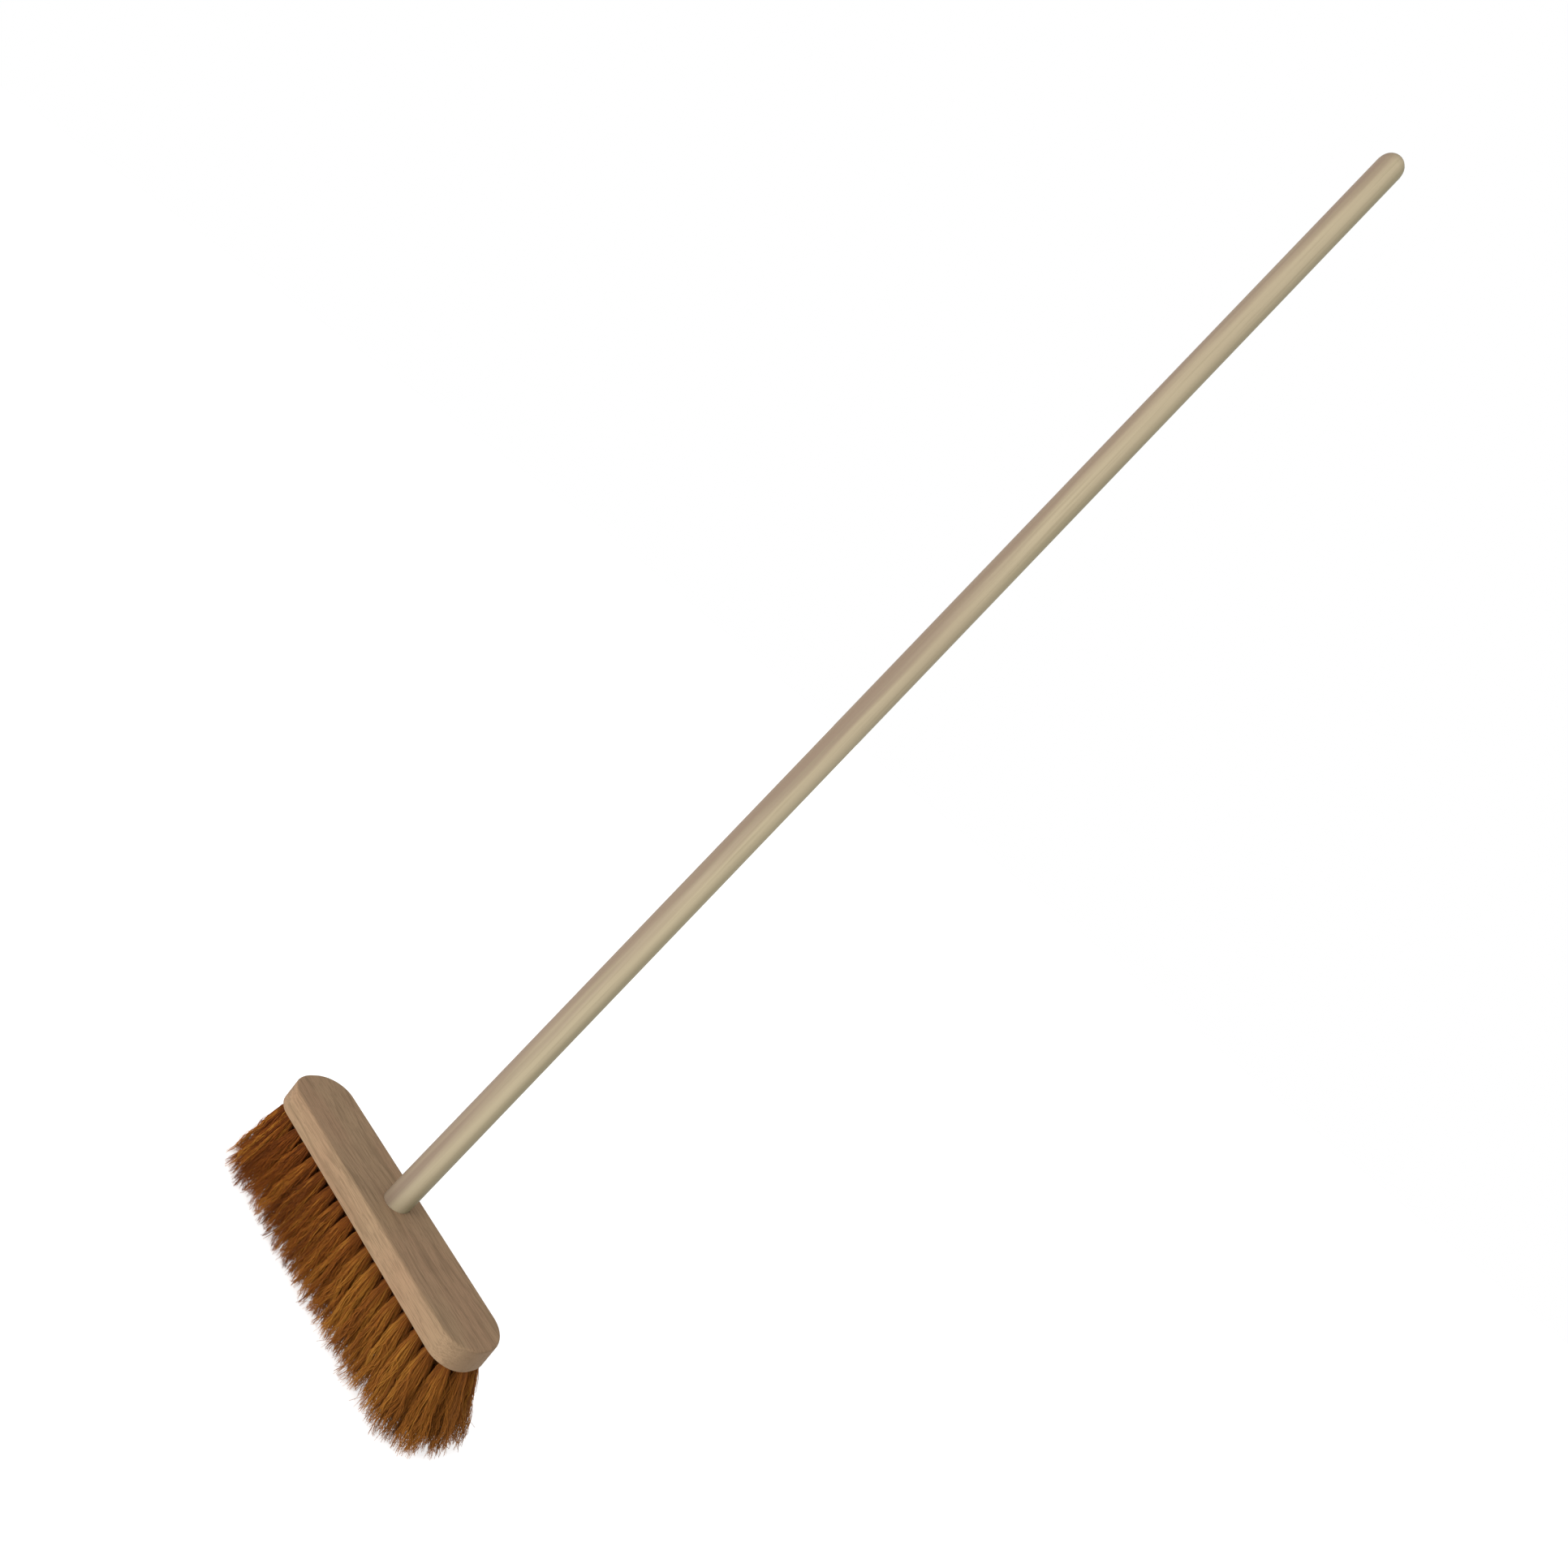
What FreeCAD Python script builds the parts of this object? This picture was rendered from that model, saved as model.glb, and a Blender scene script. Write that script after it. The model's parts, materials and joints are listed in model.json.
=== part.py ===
"""Push broom: a wooden stock drilled and filled with coir tufts, on a long round handle.

Origin: centre of the sweeping face, on the floor.
+X runs along the head, +Y is the way the handle leans, +Z is up. Millimetres.
"""

import FreeCAD, Part
import math
import os

V = FreeCAD.Vector
UP = V(0, 0, 1)

# Driving dimensions
STOCK_LENGTH = 280.0
STOCK_WIDTH = 56.0
STOCK_THICKNESS = 20.0
STOCK_CORNER_RADIUS = 25.5
STOCK_TOP_ROUNDING = 2.0
STOCK_UNDERSIDE_ROUNDING = 1.0
BRISTLE_HEIGHT = 60.0

HANDLE_RADIUS = 12.0
HANDLE_FREE_LENGTH = 1157.5
HANDLE_LEAN_DEG = 10.0
HANDLE_ENTRY_Y = 3.5
HANDLE_TENON_LENGTH = 16.0
HANDLE_TENON_RADIUS = 11.7
HANDLE_TAPER_ABOVE_STOCK = 14.0
HANDLE_DOME_HEIGHT = 11.0
SOCKET_CLEARANCE = 0.05

TUFT_ROWS_INSET = 8.0
TUFT_OUTER_COUNT = 38
TUFT_INNER_Y = 6.7
TUFT_INNER_FIRST_X = 18.0
TUFT_INNER_PER_ROW_SIDE = 7
TUFT_END_FILLER_X = 117.0
TUFT_HOLE_RADIUS = 3.25
TUFT_HOLE_DEPTH = 10.5
TUFT_PLUG_RADIUS = 3.2
TUFT_PLUG_DEPTH = 10.0
TUFT_PLUG_LAP = 1.2
TUFT_MOUTH_RADIUS = 3.5
TUFT_TIP_RADIUS = 7.0
TUFT_SPREAD_X = 1.145
TUFT_SPREAD_Y = 1.65
TUFT_RANKS = 18

ANCHOR_WIDTH = 7.4
ANCHOR_HEIGHT = 2.4
ANCHOR_THICKNESS = 0.5
ANCHOR_DEPTH = 8.4

SCREW_HEIGHT = 12.0
SCREW_LENGTH = 30.0
SCREW_SHANK_RADIUS = 1.9
SCREW_HEAD_RADIUS = 3.8
SCREW_HEAD_HEIGHT = 2.4
SCREW_TIP_LENGTH = 4.0
SCREW_THREAD_RADIUS = 2.2
SCREW_THREAD_PITCH = 1.8
SCREW_THREAD_LENGTH = 16.0
SCREW_RECESS_WIDTH = 1.1
SCREW_RECESS_LENGTH = 4.2
SCREW_RECESS_DEPTH = 1.3

# Places worked out from them
STOCK_TOP = BRISTLE_HEIGHT + STOCK_THICKNESS
STOCK_HALF_WIDTH = STOCK_WIDTH / 2
HANDLE_ENTRY = V(0, HANDLE_ENTRY_Y, STOCK_TOP)
LEAN = math.radians(HANDLE_LEAN_DEG)
HANDLE_DIRECTION = V(0, math.sin(LEAN), math.cos(LEAN))
SCREW_SEAT = V(0, STOCK_HALF_WIDTH, BRISTLE_HEIGHT + SCREW_HEIGHT)
SCREW_INWARD = V(0, -1, 0)


def save(node, shape):
    """Write one node's solids to its own STEP file."""
    shape.exportStep("parts/" + node + ".step")
    solids = len(shape.Solids)
    print(f"{node}: {solids} solid(s), {shape.Volume:.0f} mm3, valid {shape.isValid()}")


def turned(outline, base, direction):
    """Solid of revolution: an outline in the XZ plane, its axis laid from base along direction."""
    wire = Part.Wire(outline)
    solid = Part.Face(wire).revolve(V(0, 0, 0), UP, 360)
    solid.Placement = FreeCAD.Placement(base, FreeCAD.Rotation(UP, direction))
    return solid


def along(radius_heights):
    """Straight edges of a turned outline through (radius, height) points, in order."""
    points = [V(radius, 0, height) for radius, height in radius_heights]
    return [Part.LineSegment(a, b).toShape() for a, b in zip(points, points[1:])]


# Stock

def stock_blank():
    """The board before drilling: a rectangle with large round corners and softened edges."""
    block = Part.makeBox(STOCK_LENGTH, STOCK_WIDTH, STOCK_THICKNESS,
                         V(-STOCK_LENGTH / 2, -STOCK_HALF_WIDTH, BRISTLE_HEIGHT))
    uprights = [edge for edge in block.Edges
                if abs(edge.Vertexes[0].Z - edge.Vertexes[1].Z) > STOCK_THICKNESS / 2]
    board = block.makeFillet(STOCK_CORNER_RADIUS, uprights)
    for height, rounding in ((STOCK_TOP, STOCK_TOP_ROUNDING),
                             (BRISTLE_HEIGHT, STOCK_UNDERSIDE_ROUNDING)):
        rim = [edge for edge in board.Edges
               if all(abs(vertex.Z - height) < 1e-6 for vertex in edge.Vertexes)]
        board = board.makeFillet(rounding, rim)
    return board


def handle_outline(allowance, top_points):
    """Outline of the handle's foot, thicker by an allowance, and then what is above it."""
    foot = -HANDLE_TENON_LENGTH - allowance
    points = [(0, foot), (HANDLE_TENON_RADIUS + allowance, foot)]
    return along(points + top_points)


def socket_cutter():
    """What the slanted socket takes out of the stock."""
    above = HANDLE_TAPER_ABOVE_STOCK
    mouth = HANDLE_RADIUS + SOCKET_CLEARANCE
    outline = handle_outline(SOCKET_CLEARANCE, [(mouth, above), (0, above)])
    outline += along([(0, above), (0, -HANDLE_TENON_LENGTH - SOCKET_CLEARANCE)])
    return turned(outline, HANDLE_ENTRY, HANDLE_DIRECTION)


# Handle

def handle():
    """Round stick: tapered foot in the socket, plain cylinder, rounded top end."""
    shoulder = HANDLE_FREE_LENGTH - HANDLE_DOME_HEIGHT
    flat_radius = HANDLE_RADIUS - HANDLE_DOME_HEIGHT
    outline = handle_outline(0, [(HANDLE_RADIUS, HANDLE_TAPER_ABOVE_STOCK),
                                 (HANDLE_RADIUS, shoulder)])
    slant = HANDLE_DOME_HEIGHT * math.sqrt(0.5)
    middle = V(flat_radius + slant, 0, shoulder + slant)
    outline.append(Part.Arc(V(HANDLE_RADIUS, 0, shoulder), middle,
                            V(flat_radius, 0, HANDLE_FREE_LENGTH)).toShape())
    outline += along([(flat_radius, HANDLE_FREE_LENGTH), (0, HANDLE_FREE_LENGTH),
                      (0, -HANDLE_TENON_LENGTH)])
    return turned(outline, HANDLE_ENTRY, HANDLE_DIRECTION)


# Screw that holds the handle in the stock

def screw_body():
    """Countersunk wood screw as a solid of revolution with ring-shaped thread ridges."""
    plain_end = SCREW_LENGTH - SCREW_TIP_LENGTH
    thread_start = plain_end - SCREW_THREAD_LENGTH
    points = [(0, 0), (SCREW_HEAD_RADIUS, 0), (SCREW_SHANK_RADIUS, SCREW_HEAD_HEIGHT),
              (SCREW_SHANK_RADIUS, thread_start)]
    turns = int(SCREW_THREAD_LENGTH / SCREW_THREAD_PITCH)
    for turn in range(turns):
        root = thread_start + turn * SCREW_THREAD_PITCH
        points.append((SCREW_THREAD_RADIUS, root + SCREW_THREAD_PITCH / 2))
        points.append((SCREW_SHANK_RADIUS, root + SCREW_THREAD_PITCH))
    points += [(SCREW_SHANK_RADIUS, plain_end), (0, SCREW_LENGTH), (0, 0)]
    return turned(along(points), SCREW_SEAT, SCREW_INWARD)


def screw_recess():
    """Cross recess in the screw's head."""
    deep = SCREW_RECESS_DEPTH
    half_slot = SCREW_RECESS_WIDTH / 2
    half_span = SCREW_RECESS_LENGTH / 2
    corner = SCREW_SEAT - V(half_slot, deep, half_span)
    upright = Part.makeBox(SCREW_RECESS_WIDTH, 2 * deep, SCREW_RECESS_LENGTH, corner)
    corner = SCREW_SEAT - V(half_span, deep, half_slot)
    level = Part.makeBox(SCREW_RECESS_LENGTH, 2 * deep, SCREW_RECESS_WIDTH, corner)
    return upright.fuse(level)


# Tufts

def outer_ring():
    """Hole centres evenly spaced round a smaller copy of the stock's outline."""
    corner = STOCK_CORNER_RADIUS - TUFT_ROWS_INSET
    straight_x = STOCK_LENGTH / 2 - STOCK_CORNER_RADIUS
    straight_y = STOCK_HALF_WIDTH - STOCK_CORNER_RADIUS
    quarter = corner * math.pi / 2
    around = 4 * (straight_x + straight_y + quarter)
    pitch = around / TUFT_OUTER_COUNT
    centres = []
    for place in range(TUFT_OUTER_COUNT // 2):
        run = (place + 0.5) * pitch
        side = -1
        if run > around / 4:
            run = around / 2 - run
            side = 1
        if run <= straight_x:
            x, y = run, straight_y + corner
        elif run <= straight_x + quarter:
            angle = (run - straight_x) / corner
            x = straight_x + corner * math.sin(angle)
            y = straight_y + corner * math.cos(angle)
        else:
            x = straight_x + corner
            y = straight_x + quarter + straight_y - run
        centres.append((x, side * y))
        centres.append((-x, side * y))
    return centres, pitch


def tuft_centres():
    """All hole centres on the stock's underside, ordered from the -X end to the +X end."""
    centres, pitch = outer_ring()
    for end in (-1, 1):
        centres.append((end * TUFT_END_FILLER_X, 0.0))
        for place in range(TUFT_INNER_PER_ROW_SIDE):
            x = TUFT_INNER_FIRST_X + place * pitch
            centres.append((end * x, TUFT_INNER_Y))
            centres.append((end * x, -TUFT_INNER_Y))
    return sorted(centres)


def tuft_axis(x, y):
    """Hole mouth, centre of the tips and the unit direction from the tips up into the stock."""
    mouth = V(x, y, BRISTLE_HEIGHT)
    tip = V(x * TUFT_SPREAD_X, y * TUFT_SPREAD_Y, 0)
    return mouth, tip, (mouth - tip).normalize()


def tuft_hole(x, y):
    """Blind hole drilled along the tuft's own slant."""
    mouth, _, inward = tuft_axis(x, y)
    start = mouth - inward * TUFT_HOLE_RADIUS
    return Part.makeCylinder(TUFT_HOLE_RADIUS, TUFT_HOLE_DEPTH + TUFT_HOLE_RADIUS, start, inward)


def tuft(x, y):
    """A bundle of bristles: a plug in the hole that widens to the sweeping face."""
    mouth, tip, inward = tuft_axis(x, y)
    rims = [Part.Wire(Part.makeCircle(TUFT_TIP_RADIUS, tip, UP)),
            Part.Wire(Part.makeCircle(TUFT_MOUTH_RADIUS, mouth, UP))]
    flare = Part.makeLoft(rims, True, True)
    plug = Part.makeCylinder(TUFT_PLUG_RADIUS, TUFT_PLUG_DEPTH + TUFT_PLUG_LAP,
                             mouth - inward * TUFT_PLUG_LAP, inward)
    return flare.fuse(plug)


def anchor(x, y):
    """Flat wire plate driven into the hole across the folded bristles."""
    mouth, _, inward = tuft_axis(x, y)
    plate = Part.makeBox(ANCHOR_WIDTH, ANCHOR_THICKNESS, ANCHOR_HEIGHT,
                         V(-ANCHOR_WIDTH / 2, -ANCHOR_THICKNESS / 2, -ANCHOR_HEIGHT / 2))
    plate.Placement = FreeCAD.Placement(mouth + inward * ANCHOR_DEPTH,
                                        FreeCAD.Rotation(UP, inward))
    return plate


def rank_of(x):
    """Which rank across the head a tuft belongs to, counted from 1 at the -X end."""
    reach = STOCK_LENGTH / 2
    return int((x + reach) / (2 * reach) * TUFT_RANKS) + 1


os.makedirs("parts", exist_ok=True)

centres = tuft_centres()
anchors = [anchor(x, y) for x, y in centres]
tuft_ranks = {}
for (x, y), plate in zip(centres, anchors):
    tuft_ranks.setdefault(rank_of(x), []).append(tuft(x, y).cut(plate))

stick = handle()
screw = screw_body()
cutters = [socket_cutter(), screw] + [tuft_hole(x, y) for x, y in centres] + anchors

save("stock", stock_blank().cut(cutters))
save("handle", stick.cut(screw))
save("handle_screw", screw.cut(screw_recess()))
save("tuft_anchors", Part.makeCompound(anchors))
for rank, tufts in sorted(tuft_ranks.items()):
    save(f"tuft_rank_{rank:02d}", Part.makeCompound(tufts))
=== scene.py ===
"""Looks of a push broom: wood stock and handle, coir tufts and steel fixings, on a plain stage."""

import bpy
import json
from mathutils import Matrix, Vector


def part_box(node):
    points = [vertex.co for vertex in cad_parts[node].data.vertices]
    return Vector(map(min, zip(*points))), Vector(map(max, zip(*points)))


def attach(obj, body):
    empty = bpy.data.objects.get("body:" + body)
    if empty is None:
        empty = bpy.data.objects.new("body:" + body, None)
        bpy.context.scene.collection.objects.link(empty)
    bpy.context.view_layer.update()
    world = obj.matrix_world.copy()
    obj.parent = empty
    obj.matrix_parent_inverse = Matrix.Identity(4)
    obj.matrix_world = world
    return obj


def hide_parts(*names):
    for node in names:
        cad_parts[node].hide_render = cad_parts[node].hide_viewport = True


bl_info = {
    "name": "Push broom",
    "version": (1, 0, 0),
    "blender": (4, 5, 0),
    "location": "3D View > Sidebar > Broom",
    "description": "Wood, coir and steel for a drilled and filled push broom",
    "category": "Object",
}

import bmesh
import bpy
import json
import math
from mathutils import Matrix, Vector

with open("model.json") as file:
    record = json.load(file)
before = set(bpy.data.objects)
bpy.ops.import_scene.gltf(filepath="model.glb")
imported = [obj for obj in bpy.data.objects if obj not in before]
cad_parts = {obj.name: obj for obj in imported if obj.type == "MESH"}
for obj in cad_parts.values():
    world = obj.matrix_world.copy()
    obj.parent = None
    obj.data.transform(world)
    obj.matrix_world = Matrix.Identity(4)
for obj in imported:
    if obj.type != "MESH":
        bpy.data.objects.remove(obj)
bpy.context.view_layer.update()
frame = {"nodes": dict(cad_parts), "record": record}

BODY = "root"
MM = 0.001
TUFT_NODES = sorted(name for name in frame["nodes"] if name.startswith("tuft_rank"))
HANDLE_MOUNT = next(m for m in frame["record"]["mounts"] if m["name"] == "handle_grip")
HANDLE_AXIS = Vector(HANDLE_MOUNT["axis"]).normalized()
HANDLE_LEAN = math.atan2(HANDLE_AXIS.y, HANDLE_AXIS.z)
HANDLE_RADIUS = HANDLE_MOUNT["dims"]["r_mm"] * MM
HANDLE_PLACE = Vector(HANDLE_MOUNT["pos_m"])

# Way across the stick, in X and Y, to its browner side. Its brown is partly heartwood tone and partly
# painted shade, and the opposite side gets darker olive painted shade.
BROWN_SHADE_SIDE = (-0.86, -0.51)

# Bristles of a tuft draw together into locks in an inner and an outer ring.
LOCKS_IN_RING = 14
INNER_SHARE = 0.4
INNER_RING = 0.36
OUTER_RING = 0.82

# A tuft widens fast below the board and slower towards its tips.
FLARE_POWER = 0.62
CURL_POWER = 0.6

# Share of the plain tufts' splay along the board that the bristles keep.
SPLAY_KEPT = 0.5

# Growth of the sweep for each metre towards +Y.
SWEEP_TWIST = 12.0

# Share of bristles that stay close to their neighbours; the others wave more, by this much.
TAME_SHARE = 0.94
STRAY_EXTRA = 2.0

# Waves of a lock and of one bristle, as shares of the wave setting.
LOCK_WAVE = 1.5
BRISTLE_WAVE = 1.25


# Node trees written as Python expressions

class Wire:
    """A number coming out of a node, which joins in Python arithmetic."""

    kind = "ShaderNodeMath"

    def __init__(self, graph, socket):
        self.graph = graph
        self.socket = socket

    def math(self, operation, first, second=None):
        terms = {0: first} if second is None else {0: first, 1: second}
        return self.graph.add(self.kind, {"operation": operation}, terms, wire=type(self))

    def __add__(self, other):
        return self.math("ADD", self, other)

    def __radd__(self, other):
        return self.math("ADD", other, self)

    def __sub__(self, other):
        return self.math("SUBTRACT", self, other)

    def __rsub__(self, other):
        return self.math("SUBTRACT", other, self)

    def __mul__(self, other):
        return self.math("MULTIPLY", self, other)

    def __rmul__(self, other):
        return self.math("MULTIPLY", other, self)

    def __truediv__(self, other):
        return self.math("DIVIDE", self, other)

    def __pow__(self, other):
        return self.math("POWER", self, other)

    def floor(self):
        return self.math("FLOOR", self)

    def cos(self):
        return self.math("COSINE", self)

    def sin(self):
        return self.math("SINE", self)

    def at_least(self, other):
        return self.math("MAXIMUM", self, other)

    def above(self, other):
        return self.math("GREATER_THAN", self, other)

    def ramp(self, low, high):
        """0 below low, 1 above high, smooth in between."""
        settings = {"interpolation_type": "SMOOTHSTEP"}
        inputs = {"Value": self, "From Min": low, "From Max": high}
        return self.graph.add("ShaderNodeMapRange", settings, inputs)


class Arrow(Wire):
    """A vector coming out of a node."""

    kind = "ShaderNodeVectorMath"

    def __mul__(self, number):
        return self.graph.add(self.kind, {"operation": "SCALE"}, {0: self, "Scale": number}, wire=Arrow)

    def length(self):
        return self.graph.add(self.kind, {"operation": "LENGTH"}, {0: self}, output="Value")

    def split(self):
        node = self.graph.add("ShaderNodeSeparateXYZ", {}, {0: self}).socket.node
        return [Wire(self.graph, socket) for socket in node.outputs]


class Graph:
    """Adds nodes to one shader, world or geometry tree."""

    def __init__(self, tree):
        self.tree = tree

    @staticmethod
    def pick(sockets, key):
        """A socket by place, or the live one by name."""
        if isinstance(key, int):
            return sockets[key]
        return next(socket for socket in sockets if socket.name == key and socket.enabled)

    def add(self, kind, settings=None, inputs=None, output=0, wire=Wire):
        """Any node: its settings first, then the values or links of its sockets."""
        node = self.tree.nodes.new(kind)
        for name, value in (settings or {}).items():
            setattr(node, name, value)
        for key, value in (inputs or {}).items():
            socket = self.pick(node.inputs, key)
            if isinstance(value, Wire):
                self.tree.links.new(value.socket, socket)
            else:
                socket.default_value = value
        if isinstance(output, int):
            live = [socket for socket in node.outputs if socket.enabled]
            return wire(self, live[output]) if live else node
        return wire(self, self.pick(node.outputs, output))

    def vector(self, x, y, z):
        return self.add("ShaderNodeCombineXYZ", {}, {0: x, 1: y, 2: z}, wire=Arrow)

    def noise(self, place, scale=1.0, detail=2.0, output="Fac", wire=Wire, rough=0.5):
        inputs = {"Vector": place, "Scale": scale, "Detail": detail, "Roughness": rough}
        return self.add("ShaderNodeTexNoise", {}, inputs, output, wire)

    def mix(self, amount, first, second):
        """Colours mixed by an amount from 0 to 1."""
        settings = {"data_type": "RGBA", "clamp_factor": True}
        inputs = {"Factor": amount, "A": first, "B": second}
        return self.add("ShaderNodeMix", settings, inputs, "Result")


def rgba(colour):
    return (*colour, 1.0)


class Surface(Graph):
    """A new material with one Principled shader, and a graph that feeds it."""

    def __init__(self, name, roughness, metallic=0.0, specular=0.5):
        self.material = bpy.data.materials.new(name)
        self.material.use_nodes = True
        super().__init__(self.material.node_tree)
        self.shader = self.tree.nodes["Principled BSDF"]
        self.shader.inputs["Roughness"].default_value = roughness
        self.shader.inputs["Metallic"].default_value = metallic
        self.shader.inputs["Specular IOR Level"].default_value = specular

    def feed(self, name, wire):
        self.tree.links.new(wire.socket, self.shader.inputs[name])

    def place(self, turn=(0, 0, 0)):
        """Object coordinates, turned about the origin."""
        own = self.add("ShaderNodeTexCoord", {}, {}, "Object", Arrow)
        return self.add("ShaderNodeMapping", {}, {"Vector": own, "Rotation": turn}, 0, Arrow)

    def stretched(self, place, scale):
        """A place times a scale along each axis, for noise that runs along the grain."""
        return self.add("ShaderNodeMapping", {}, {"Vector": place, "Scale": scale}, 0, Arrow)

    def bump(self, height, depth):
        """Relief from a height that runs from 0 to 1, as deep as given in metres."""
        inputs = {"Height": height, "Distance": depth, "Strength": 1.0}
        self.feed("Normal", self.add("ShaderNodeBump", {}, inputs))


# Settings

def colour_setting(name, description, default):
    return bpy.props.FloatVectorProperty(
        name=name, description=description, default=default,
        subtype="COLOR", size=3, min=0.0, max=1.0)


def length_setting(name, description, default):
    return bpy.props.FloatProperty(
        name=name, description=description, default=default,
        unit="LENGTH", subtype="DISTANCE", min=0.0)


class StockSettings(bpy.types.PropertyGroup):
    """Colours of the beech board."""

    light: colour_setting("Light wood", "Colour between the streaks", (0.328, 0.219, 0.127))
    # The dark colour also darkens the end walls, partly real end grain and partly painted shade.
    dark: colour_setting("Dark wood", "Colour of the streaks", (0.165, 0.108, 0.062))
    rosy: colour_setting("Rosy wood", "Warm patches of the board", (0.328, 0.206, 0.121))


class HandleSettings(bpy.types.PropertyGroup):
    """Colours of the turned stick."""

    light: colour_setting("Light wood", "Pale sapwood", (0.415, 0.345, 0.228))
    # The dark colour also paints the browner side, partly heartwood tone and partly painted shade,
    # besides the real streaks.
    dark: colour_setting("Dark wood", "Pinkish brown side and streaks", (0.235, 0.170, 0.118))
    lines: colour_setting("Grain lines", "Fine lines along the stick", (0.27, 0.225, 0.135))
    # The olive colour is painted shade on the side of the stick away from the brown one.
    olive: colour_setting("Olive wood", "Side away from the brown one", (0.21, 0.180, 0.098))


class TuftSettings(bpy.types.PropertyGroup):
    """Sizes and colours of the coir bristles."""

    count: bpy.props.IntProperty(
        name="Bristles per tuft", description="How many bristles one tuft has",
        default=400, min=10, max=1200)
    segments: bpy.props.IntProperty(
        name="Segments", description="Straight pieces along one bristle", default=9, min=3, max=16)
    thickness: length_setting("Thickness", "Mean diameter of a bristle at the board", 0.42 * MM)
    mouth_radius: length_setting("Mouth radius", "Radius of a tuft in its hole", 2.9 * MM)
    tip_radius: length_setting("Tip radius", "Radius of a tuft at its tips", 11.5 * MM)
    depth: length_setting("Depth", "How far a tuft reaches into its hole", 8.0 * MM)
    wave: length_setting("Wave", "How far bristles stray from straight", 9.0 * MM)
    sweep: length_setting("Sweep", "How far the tips are brushed towards +X", 10.5 * MM)
    uneven: bpy.props.FloatProperty(
        name="Uneven", description="Largest share of its length that a bristle is short by",
        default=0.11, min=0.0, max=0.5, subtype="FACTOR")
    gather: bpy.props.FloatProperty(
        name="Gather", description="How closely bristles draw together into locks",
        default=0.50, min=0.0, max=1.0, subtype="FACTOR")
    seed: bpy.props.IntProperty(name="Seed", description="Another seed gives other bristles", default=7)
    # The rust colour also paints the shade on the bristles close to the board.
    rust: colour_setting("Rust", "Darkest bristles", (0.15, 0.038, 0.006))
    brown: colour_setting("Brown", "Most bristles", (0.34, 0.100, 0.013))
    gold: colour_setting("Gold", "Lightest bristles", (0.55, 0.230, 0.032))
    olive: colour_setting("Olive", "Tint of the bristles towards +X", (0.24, 0.105, 0.016))


class StageSettings(bpy.types.PropertyGroup):
    """Floor, surround, light and camera."""

    floor: colour_setting("Floor", "Colour of the plain floor", (0.72, 0.72, 0.72))
    glow: bpy.props.FloatProperty(
        name="Floor glow", description="Light that the floor gives by itself", default=0.62, min=0.0)
    sky: bpy.props.FloatProperty(
        name="Surround", description="Strength of the white surround", default=1.0, min=0.0)
    overhead: bpy.props.FloatProperty(
        name="Overhead", description="Strength of the surround straight above", default=0.42, min=0.0)
    key: bpy.props.FloatProperty(
        name="Key light", description="Power of the large soft light", default=29.0, min=0.0,
        unit="POWER")
    lens: bpy.props.FloatProperty(
        name="Lens", description="Focal length on a 36 mm sensor", default=27.26, min=1.0,
        unit="CAMERA")


def settings(name):
    return getattr(bpy.context.scene, name)


# Wood

def stock_wood(own):
    """Beech with long soft streaks, rosy patches, short dark flecks and darker end grain, darkened
    further as painted shade on the end walls.
    """
    wood = Surface("Beech board", roughness=0.7, specular=0.1)
    place = wood.place()
    x, y, z = place.split()
    drift = wood.noise(wood.stretched(place, (6, 9, 9)), detail=1) * 0.9
    bent = wood.vector(x * 13.0, y * 190.0 + drift * 8.0, z * 190.0 + drift * 8.0)
    streaks = wood.noise(bent, detail=3, rough=0.6).ramp(0.48, 0.70)
    thin = wood.vector(x * 26.0, y * 560.0 + drift * 18.0, z * 560.0 + drift * 18.0)
    lines = wood.noise(thin, detail=3, rough=0.65).ramp(0.48, 0.70)
    fine = wood.noise(wood.stretched(place, (50, 1500, 1500)), detail=3)
    flecks = wood.noise(wood.stretched(place, (160, 1100, 1100)), detail=1).ramp(0.60, 0.74)
    patches = wood.noise(wood.stretched(place, (11, 34, 34)), detail=2).ramp(0.36, 0.66)
    # End walls darkened: partly the real darker end grain, partly painted shade.
    facing = wood.add("ShaderNodeTexCoord", {}, {}, "Normal", Arrow).split()[0]
    end_grain_and_shade = (facing * facing).ramp(0.12, 0.85)
    colour = wood.mix(patches, rgba(own.light), rgba(own.rosy))
    colour = wood.mix(streaks * 0.45, colour, rgba(own.dark))
    colour = wood.mix(lines * 0.40, colour, rgba(own.dark))
    colour = wood.mix(fine.ramp(0.42, 0.70) * 0.45, colour, rgba(own.dark))
    colour = wood.mix(flecks * 0.40, colour, rgba(own.dark))
    colour = wood.mix(end_grain_and_shade * 0.7, colour, rgba(own.dark))
    wood.feed("Base Color", colour)
    wood.feed("Roughness", 0.64 + streaks * 0.1 + fine * 0.08)
    wood.bump(fine * 0.6 - flecks * 0.4, 0.06 * MM)
    return wood.material


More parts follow.
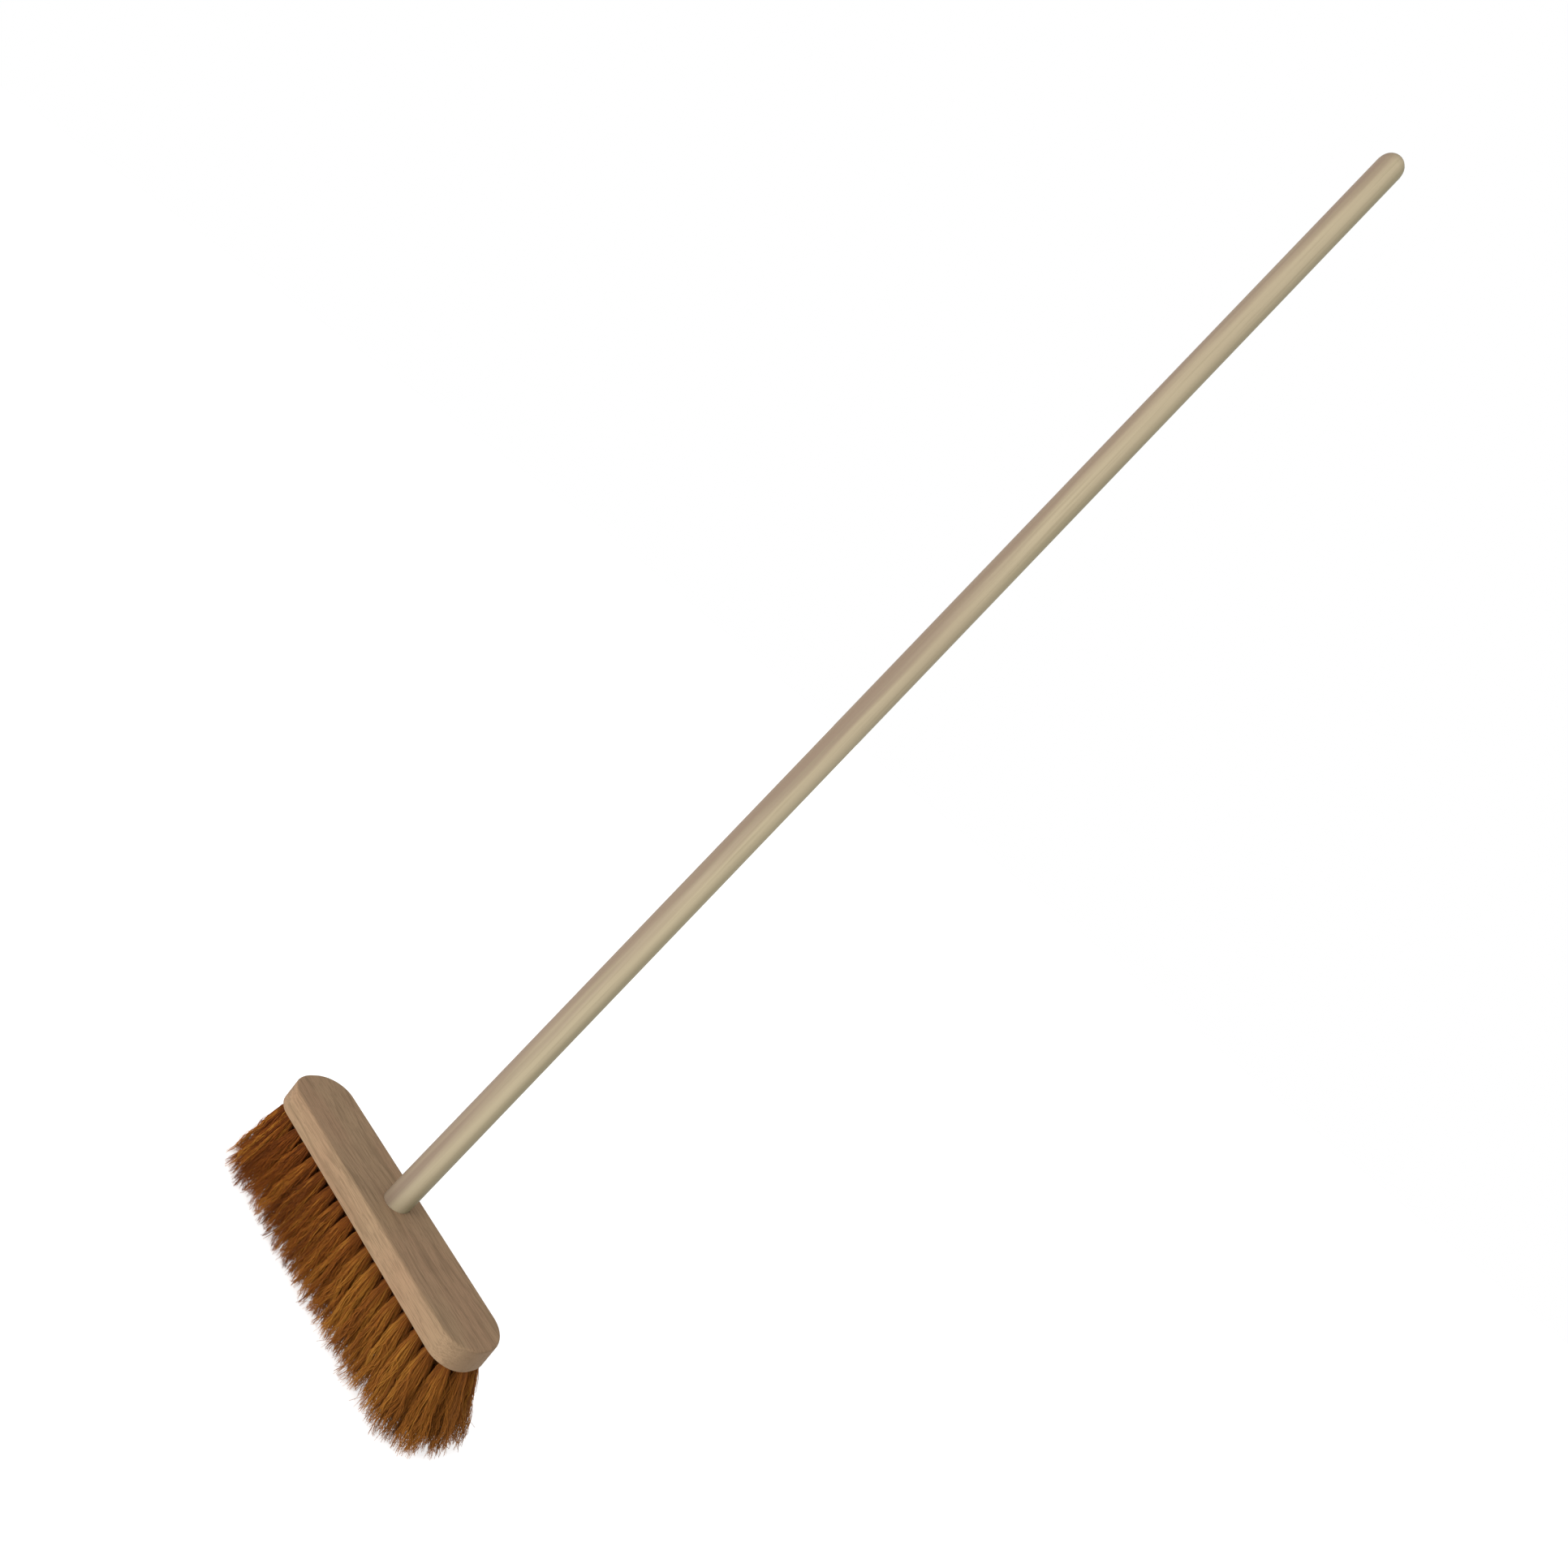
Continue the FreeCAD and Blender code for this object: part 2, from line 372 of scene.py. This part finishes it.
def handle_wood(own):
    """Pale turned softwood with painted shade across it: browner on one side, partly heartwood tone and
    partly painted shade, and darker olive painted shade on the other, with broad streaks and fine lines
    along it.
    """
    wood = Surface("Turned stick", roughness=0.45, specular=0.22)
    place = wood.place(turn=(HANDLE_LEAN, 0, 0))
    centre = HANDLE_PLACE.y * math.cos(HANDLE_LEAN) - HANDLE_PLACE.z * math.sin(HANDLE_LEAN)
    x, y, z = place.split()
    side = (x * BROWN_SHADE_SIDE[0] + (y - centre) * BROWN_SHADE_SIDE[1]) / HANDLE_RADIUS
    broad = wood.noise(wood.stretched(place, (75, 75, 2.6)), detail=3, rough=0.55)
    lines = wood.noise(wood.stretched(place, (420, 420, 7)), detail=3, rough=0.6)
    fine = wood.noise(wood.stretched(place, (1700, 1700, 60)), detail=2)
    uneven = (broad - 0.5) * 1.5
    patches = wood.noise(wood.stretched(place, (9, 9, 3.4)), detail=2).ramp(0.42, 0.66)
    # Painted shade: the olive colour darkens the side of the stick away from the brown one.
    colour = wood.mix((uneven * 0.5 - side).ramp(0.30, 1.15), rgba(own.light), rgba(own.olive))
    # Partly heartwood tone, partly painted shade: the brown colour darkens one side of the stick.
    colour = wood.mix((side + uneven * 1.3).ramp(-0.15, 0.8), colour, rgba(own.dark))
    colour = wood.mix(patches * (0.46 - z * 0.34), colour, rgba(own.dark))
    colour = wood.mix(lines.ramp(0.50, 0.72) * 0.45, colour, rgba(own.lines))
    wood.feed("Base Color", colour)
    wood.feed("Roughness", 0.44 + lines * 0.12)
    wood.bump(lines * 0.6 + fine * 0.4, 0.05 * MM)
    return wood.material


def bright_steel(name, colour, roughness):
    """Drawn or turned steel with faint scratches."""
    steel = Surface(name, roughness=roughness, metallic=1.0)
    scratches = steel.noise(steel.stretched(steel.place(), (2500, 300, 2500)), detail=2)
    steel.feed("Base Color", steel.mix(scratches * 0.5, rgba(colour), (0.30, 0.29, 0.27, 1)))
    steel.feed("Roughness", roughness + scratches * 0.2)
    return steel.material


def dress(node, material):
    """Give a CAD node its finished material."""
    slots = frame["nodes"][node].data.materials
    slots.clear()
    slots.append(material)


class BROOM_OT_stock(bpy.types.Operator):
    """Finish the drilled board"""

    bl_idname = "broom.stock"
    bl_label = "Stock"

    def execute(self, context):
        dress("stock", stock_wood(settings("broom_stock")))
        return {"FINISHED"}


class BROOM_OT_handle(bpy.types.Operator):
    """Finish the turned stick"""

    bl_idname = "broom.handle"
    bl_label = "Handle"

    def execute(self, context):
        dress("handle", handle_wood(settings("broom_handle")))
        return {"FINISHED"}


class BROOM_OT_fixings(bpy.types.Operator):
    """Finish the screw and the wire anchors"""

    bl_idname = "broom.fixings"
    bl_label = "Screw and anchors"

    def execute(self, context):
        dress("handle_screw", bright_steel("Zinc screw", (0.62, 0.60, 0.55), 0.32))
        dress("tuft_anchors", bright_steel("Anchor wire", (0.50, 0.49, 0.47), 0.38))
        return {"FINISHED"}


# Tufts

def tuft_axes(node):
    """Mouth and tip centres of each tuft solid of a CAD node, in order along and across."""
    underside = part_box("stock")[0][2]
    shell = bmesh.new()
    shell.from_mesh(frame["nodes"][node].data)
    bmesh.ops.remove_doubles(shell, verts=shell.verts, dist=0.001 * MM)
    left = set(shell.verts)
    axes = []
    while left:
        solid = [left.pop()]
        for vert in solid:
            for edge in vert.link_edges:
                other = edge.other_vert(vert)
                if other in left:
                    left.remove(other)
                    solid.append(other)
        ends = []
        for level in (underside, 0.0):
            rim = [vert.co for vert in solid if abs(vert.co.z - level) < 0.01 * MM]
            low = Vector(min(point[axis] for point in rim) for axis in range(3))
            high = Vector(max(point[axis] for point in rim) for axis in range(3))
            ends.append([round(value, 5) for value in (low + high) / 2])
        axes.append(ends)
    shell.free()
    return sorted(axes)


def tuft_points(node, first):
    """One point at the mouth of each tuft, which holds its number and the way to its tips."""
    axes = tuft_axes(node)
    mesh = bpy.data.meshes.new(node)
    mesh.from_pydata([mouth for mouth, _ in axes], [], [])
    number = mesh.attributes.new("tuft", "INT", "POINT")
    reach = mesh.attributes.new("reach", "FLOAT_VECTOR", "POINT")
    for place, (mouth, tip) in enumerate(axes):
        number.data[place].value = first + place
        reach.data[place].vector = Vector(tip) - Vector(mouth)
    return mesh


def bristle_tree(own):
    """Geometry nodes that grow every tuft's bristles from its point."""
    tree = bpy.data.node_groups.new("Coir tufts", "GeometryNodeTree")
    graph = Graph(tree)
    sockets = tree.interface
    sockets.new_socket("Geometry", in_out="OUTPUT", socket_type="NodeSocketGeometry")
    sockets.new_socket("Geometry", in_out="INPUT", socket_type="NodeSocketGeometry")
    inputs = {
        "Bristles per tuft": ("NodeSocketInt", own.count),
        "Segments": ("NodeSocketInt", own.segments),
        "Thickness": ("NodeSocketFloat", own.thickness),
        "Mouth radius": ("NodeSocketFloat", own.mouth_radius),
        "Tip radius": ("NodeSocketFloat", own.tip_radius),
        "Depth": ("NodeSocketFloat", own.depth),
        "Wave": ("NodeSocketFloat", own.wave),
        "Sweep": ("NodeSocketFloat", own.sweep),
        "Uneven": ("NodeSocketFloat", own.uneven),
        "Gather": ("NodeSocketFloat", own.gather),
        "Seed": ("NodeSocketInt", own.seed),
        "Material": ("NodeSocketMaterial", None),
    }
    for name, (kind, default) in inputs.items():
        socket = sockets.new_socket(name, in_out="INPUT", socket_type=kind)
        if default is not None:
            socket.default_value = default
    group = tree.nodes.new("NodeGroupInput")
    given = {socket.name: Wire(graph, socket) for socket in group.outputs if socket.name}

    copies = graph.add("GeometryNodeDuplicateElements", {"domain": "POINT"},
                       {"Geometry": given["Geometry"], "Amount": given["Bristles per tuft"]})
    line = graph.add("GeometryNodeCurvePrimitiveLine", {}, {"End": (0, 0, 1)})
    line = graph.add("GeometryNodeResampleCurve", {},
                     {"Curve": line, "Count": given["Segments"] + 1.0})

    capture = tree.nodes.new("GeometryNodeCaptureAttribute")
    kept = {"bristle": ("INT", graph.add("GeometryNodeInputIndex")),
            "mouth": ("VECTOR", graph.add("GeometryNodeInputPosition", wire=Arrow))}
    for name, (kind, wire) in kept.items():
        capture.capture_items.new(kind, name)
        tree.links.new(wire.socket, graph.pick(capture.inputs, name))
    tree.links.new(copies.socket, capture.inputs["Geometry"])
    bristle = Wire(graph, graph.pick(capture.outputs, "bristle"))
    mouth = Arrow(graph, graph.pick(capture.outputs, "mouth"))
    strands = graph.add("GeometryNodeInstanceOnPoints", {},
                        {"Points": Wire(graph, capture.outputs["Geometry"]), "Instance": line})
    strands = graph.add("GeometryNodeRealizeInstances", {}, {"Geometry": strands})

    def own_value(kind, name, wire=Wire):
        return graph.add("GeometryNodeInputNamedAttribute", {"data_type": kind},
                         {"Name": name}, "Attribute", wire)

    def chance(number, turn):
        """A random number from 0 to 1 that is the same for the same number."""
        return graph.add("FunctionNodeRandomValue", {"data_type": "FLOAT"},
                         {"Min": 0.0, "Max": 1.0, "ID": number, "Seed": given["Seed"] + turn},
                         "Value")

    reach = own_value("FLOAT_VECTOR", "reach", Arrow)
    splay, lean, fall = reach.split()
    reach = graph.vector(splay * SPLAY_KEPT, lean, fall)
    tuft = own_value("INT", "tuft")
    whole = reach.length()
    sunk = given["Depth"] / whole
    factor = graph.add("GeometryNodeSplineParameter", {}, {}, "Factor")
    along = factor * (sunk + 1.0) - sunk
    outside = along.at_least(0.0)

    # Place in the tuft's round section, and the lock that the bristle draws to.
    spin = chance(bristle, 1)
    ring = chance(bristle, 2)
    radius = ring ** 0.5
    angle = spin * math.tau
    sector = (spin * LOCKS_IN_RING).floor()
    outer = ring.above(INNER_SHARE)
    lock = (tuft * 2 + outer) * LOCKS_IN_RING + sector
    lock_radius = INNER_RING + outer * (OUTER_RING - INNER_RING)
    lock_angle = (sector + chance(lock, 3)) * (math.tau / LOCKS_IN_RING)
    pull = given["Gather"] * (0.4 + chance(lock, 4) * 0.9)

    flare = outside ** FLARE_POWER

    def section(turned):
        start = radius * turned(angle)
        end = start + (lock_radius * turned(lock_angle) - start) * pull
        wide = given["Tip radius"] * end * flare
        return given["Mouth radius"] * start * (1.0 - outside * 0.8) + wide

    swept = given["Sweep"] * outside * (1.0 + mouth.split()[1] * SWEEP_TWIST)
    across = graph.vector(section(Wire.cos) + swept, section(Wire.sin), 0.0)

    # Waves shared by a lock, smaller ones of each bristle, and a few strays.
    bend = graph.noise(graph.vector(lock * 3.7, tuft * 1.9, outside * 4.2), detail=1,
                       output="Color", wire=Arrow)
    curl = graph.noise(graph.vector(bristle * 1.31, 0.5, outside * 6.0), detail=1,
                       output="Color", wire=Arrow)
    middle = graph.vector(0.5, 0.5, 0.5)
    stray = 1.0 + chance(bristle, 5).above(TAME_SHARE) * STRAY_EXTRA
    bend = (bend - middle) * (given["Wave"] * outside * LOCK_WAVE)
    curl = (curl - middle) * (given["Wave"] * outside ** CURL_POWER * stray * BRISTLE_WAVE)
    short = (chance(bristle, 6) ** 2.0 + chance(lock, 7) * 0.6) * given["Uneven"]
    path = mouth + reach * (along * (1.0 - outside * short)) + across + bend + curl
    x, y, z = path.split()
    path = graph.vector(x, y, z.at_least(given["Thickness"]))

    strands = graph.add("GeometryNodeSetPosition", {}, {"Geometry": strands, "Position": path})
    size = given["Thickness"] * (0.35 + chance(bristle, 8) * 0.3) * (1.0 - outside * 0.35)
    tint = chance(bristle, 9) * 0.5 + chance(lock, 10) * 0.55
    for name, value in (("strand", tint), ("along", outside)):
        strands = graph.add("GeometryNodeStoreNamedAttribute",
                            {"data_type": "FLOAT", "domain": "POINT"},
                            {"Geometry": strands, "Name": name, "Value": value})
    outline = graph.add("GeometryNodeCurvePrimitiveCircle", {}, {"Resolution": 3, "Radius": 1.0})
    solid = graph.add("GeometryNodeCurveToMesh", {},
                      {"Curve": strands, "Profile Curve": outline, "Scale": size,
                       "Fill Caps": True})
    for name in ("reach", "tuft"):
        solid = graph.add("GeometryNodeRemoveAttribute", {}, {"Geometry": solid, "Name": name})
    solid = graph.add("GeometryNodeSetShadeSmooth", {}, {"Geometry": solid})
    solid = graph.add("GeometryNodeRealizeInstances", {}, {"Geometry": solid})
    solid = graph.add("GeometryNodeSetMaterial", {},
                      {"Geometry": solid, "Material": given["Material"]})
    last = tree.nodes.new("NodeGroupOutput")
    tree.links.new(solid.socket, last.inputs[0])
    return tree


def coir(own):
    """Coconut fibre: rusty to golden, with painted shade darkening it close to the board, and more
    olive towards +X.
    """
    fibre = Surface("Coir", roughness=0.7, specular=0.12)
    strand = fibre.add("ShaderNodeAttribute", {"attribute_name": "strand"}, {}, "Fac")
    along = fibre.add("ShaderNodeAttribute", {"attribute_name": "along"}, {}, "Fac")
    place = fibre.place()
    patch = fibre.noise(fibre.stretched(place, (26, 26, 12)), detail=2)
    tone = strand + (patch - 0.5) * 0.6
    colour = fibre.mix(tone.ramp(0.12, 0.55), rgba(own.rust), rgba(own.brown))
    colour = fibre.mix(tone.ramp(0.55, 0.95), colour, rgba(own.gold))
    colour = fibre.mix(place.split()[0].ramp(-0.16, 0.20) * 0.45, colour, rgba(own.olive))
    # Painted shade: bristles darken towards rust close to the board.
    colour = fibre.mix((1.0 - along.ramp(0.0, 0.30)) * 0.6, colour, rgba(own.rust))
    fibre.feed("Base Color", colour)
    return fibre.material


class BROOM_OT_tufts(bpy.types.Operator):
    """Grow the coir bristles of every rank of tufts"""

    bl_idname = "broom.tufts"
    bl_label = "Tufts"

    def execute(self, context):
        own = settings("broom_tufts")
        tree = bristle_tree(own)
        material = coir(own)
        material_input = next(item.identifier for item in tree.interface.items_tree
                              if item.name == "Material")
        first = 0
        for node in TUFT_NODES:
            points = tuft_points(node, first)
            first += len(points.vertices)
            source = bpy.data.objects.new(node, points)
            context.scene.collection.objects.link(source)
            grow = source.modifiers.new("Bristles", "NODES")
            grow.node_group = tree
            grow[material_input] = material
            evaluated = source.evaluated_get(context.evaluated_depsgraph_get())
            mesh = bpy.data.meshes.new_from_object(evaluated)
            bpy.data.objects.remove(source)
            rank = node.removeprefix("tuft_rank_")
            piece = bpy.data.objects.new("coir_rank_" + rank, mesh)
            context.scene.collection.objects.link(piece)
            if not mesh.polygons:
                raise RuntimeError(f"{node} grew no bristles")
            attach(piece, BODY)
            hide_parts(node)
        return {"FINISHED"}


# Stage

CAMERA_PLACE = Vector((0.4639, -0.7300, 0.6149))
CAMERA_AZIMUTH = math.radians(30.3)
CAMERA_ELEVATION = math.radians(6.1)
CAMERA_ROLL = math.radians(38.8)

# Heights in the surround, as sines, between which it dims.
DIM_FROM = math.sin(math.radians(38))
DIM_TO = math.sin(math.radians(65))

KEY_PLACE = (-0.4, -2.4, 0.9)
KEY_AIM = (0, 0, 0.3)
KEY_SIZE = 1.4
FLOOR_REACH = 12.0


def camera_turn():
    """Camera axes from where it looks from and how far it is rolled."""
    level = math.cos(CAMERA_ELEVATION)
    back = Vector((math.sin(CAMERA_AZIMUTH) * level, -math.cos(CAMERA_AZIMUTH) * level,
                   math.sin(CAMERA_ELEVATION)))
    right = Vector((0, 0, 1)).cross(back).normalized()
    up = back.cross(right)
    roll = Matrix.Rotation(CAMERA_ROLL, 3, back)
    axes = Matrix((roll @ right, roll @ up, back)).transposed()
    return axes.to_4x4()


def soft_light(name, place, target, size, power):
    """A round area light that faces its target."""
    data = bpy.data.lights.new(name, "AREA")
    data.shape = "DISK"
    data.size = size
    data.energy = power
    light = bpy.data.objects.new(name, data)
    light.location = place
    light.rotation_euler = (Vector(target) - Vector(place)).to_track_quat("-Z", "Y").to_euler()
    bpy.context.scene.collection.objects.link(light)


class BROOM_OT_stage(bpy.types.Operator):
    """Plain pale floor, white surround, soft light and the camera"""

    bl_idname = "broom.stage"
    bl_label = "Stage"

    def execute(self, context):
        own = settings("broom_stage")
        scene = context.scene
        mesh = bpy.data.meshes.new("floor")
        corners = [(-1, -1, 0), (1, -1, 0), (1, 1, 0), (-1, 1, 0)]
        mesh.from_pydata([Vector(corner) * FLOOR_REACH for corner in corners], [], [(0, 1, 2, 3)])
        floor = bpy.data.objects.new("floor", mesh)
        scene.collection.objects.link(floor)
        paint = Surface("Pale floor", roughness=0.9, specular=0.1)
        paint.shader.inputs["Base Color"].default_value = rgba(own.floor)
        paint.shader.inputs["Emission Color"].default_value = (1, 1, 1, 1)
        paint.shader.inputs["Emission Strength"].default_value = own.glow
        mesh.materials.append(paint.material)

        world = bpy.data.worlds.new("White surround")
        world.use_nodes = True
        surround = world.node_tree.nodes["Background"]
        surround.inputs["Color"].default_value = (1, 1, 1, 1)
        air = Graph(world.node_tree)
        height = air.add("ShaderNodeTexCoord", {}, {}, "Generated", Arrow).split()[2]
        strength = own.sky + height.ramp(DIM_FROM, DIM_TO) * (own.overhead - own.sky)
        world.node_tree.links.new(strength.socket, surround.inputs["Strength"])
        scene.world = world

        soft_light("key", KEY_PLACE, KEY_AIM, KEY_SIZE, own.key)

        data = bpy.data.cameras.new("camera")
        data.sensor_width = 36.0
        data.lens = own.lens
        camera = bpy.data.objects.new("camera", data)
        camera.matrix_world = Matrix.Translation(CAMERA_PLACE) @ camera_turn()
        scene.collection.objects.link(camera)
        scene.camera = camera
        scene.view_settings.view_transform = "Standard"
        return {"FINISHED"}


class BROOM_PT_panel(bpy.types.Panel):
    """Sidebar list of the broom's pieces and their settings"""

    bl_idname = "BROOM_PT_panel"
    bl_label = "Push broom"
    bl_space_type = "VIEW_3D"
    bl_region_type = "UI"
    bl_category = "Broom"

    def draw(self, context):
        for operator, group in STEPS:
            box = self.layout.box()
            box.operator(operator.bl_idname)
            if group:
                own = getattr(context.scene, group)
                for name in own.bl_rna.properties.keys():
                    if name not in ("rna_type", "name"):
                        box.prop(own, name)


GROUPS = {
    "broom_stock": StockSettings,
    "broom_handle": HandleSettings,
    "broom_tufts": TuftSettings,
    "broom_stage": StageSettings,
}
STEPS = (
    (BROOM_OT_stage, "broom_stage"),
    (BROOM_OT_stock, "broom_stock"),
    (BROOM_OT_handle, "broom_handle"),
    (BROOM_OT_fixings, None),
    (BROOM_OT_tufts, "broom_tufts"),
)


def register():
    for name, group in GROUPS.items():
        bpy.utils.register_class(group)
        setattr(bpy.types.Scene, name, bpy.props.PointerProperty(type=group))
    for operator, _ in STEPS:
        bpy.utils.register_class(operator)
    bpy.utils.register_class(BROOM_PT_panel)


def unregister():
    bpy.utils.unregister_class(BROOM_PT_panel)
    for operator, _ in reversed(STEPS):
        bpy.utils.unregister_class(operator)
    for name, group in GROUPS.items():
        delattr(bpy.types.Scene, name)
        bpy.utils.unregister_class(group)


def main():
    register()
    for operator, _ in STEPS:
        area, verb = operator.bl_idname.split(".")
        getattr(getattr(bpy.ops, area), verb)()


if __name__ == "__main__":
    main()
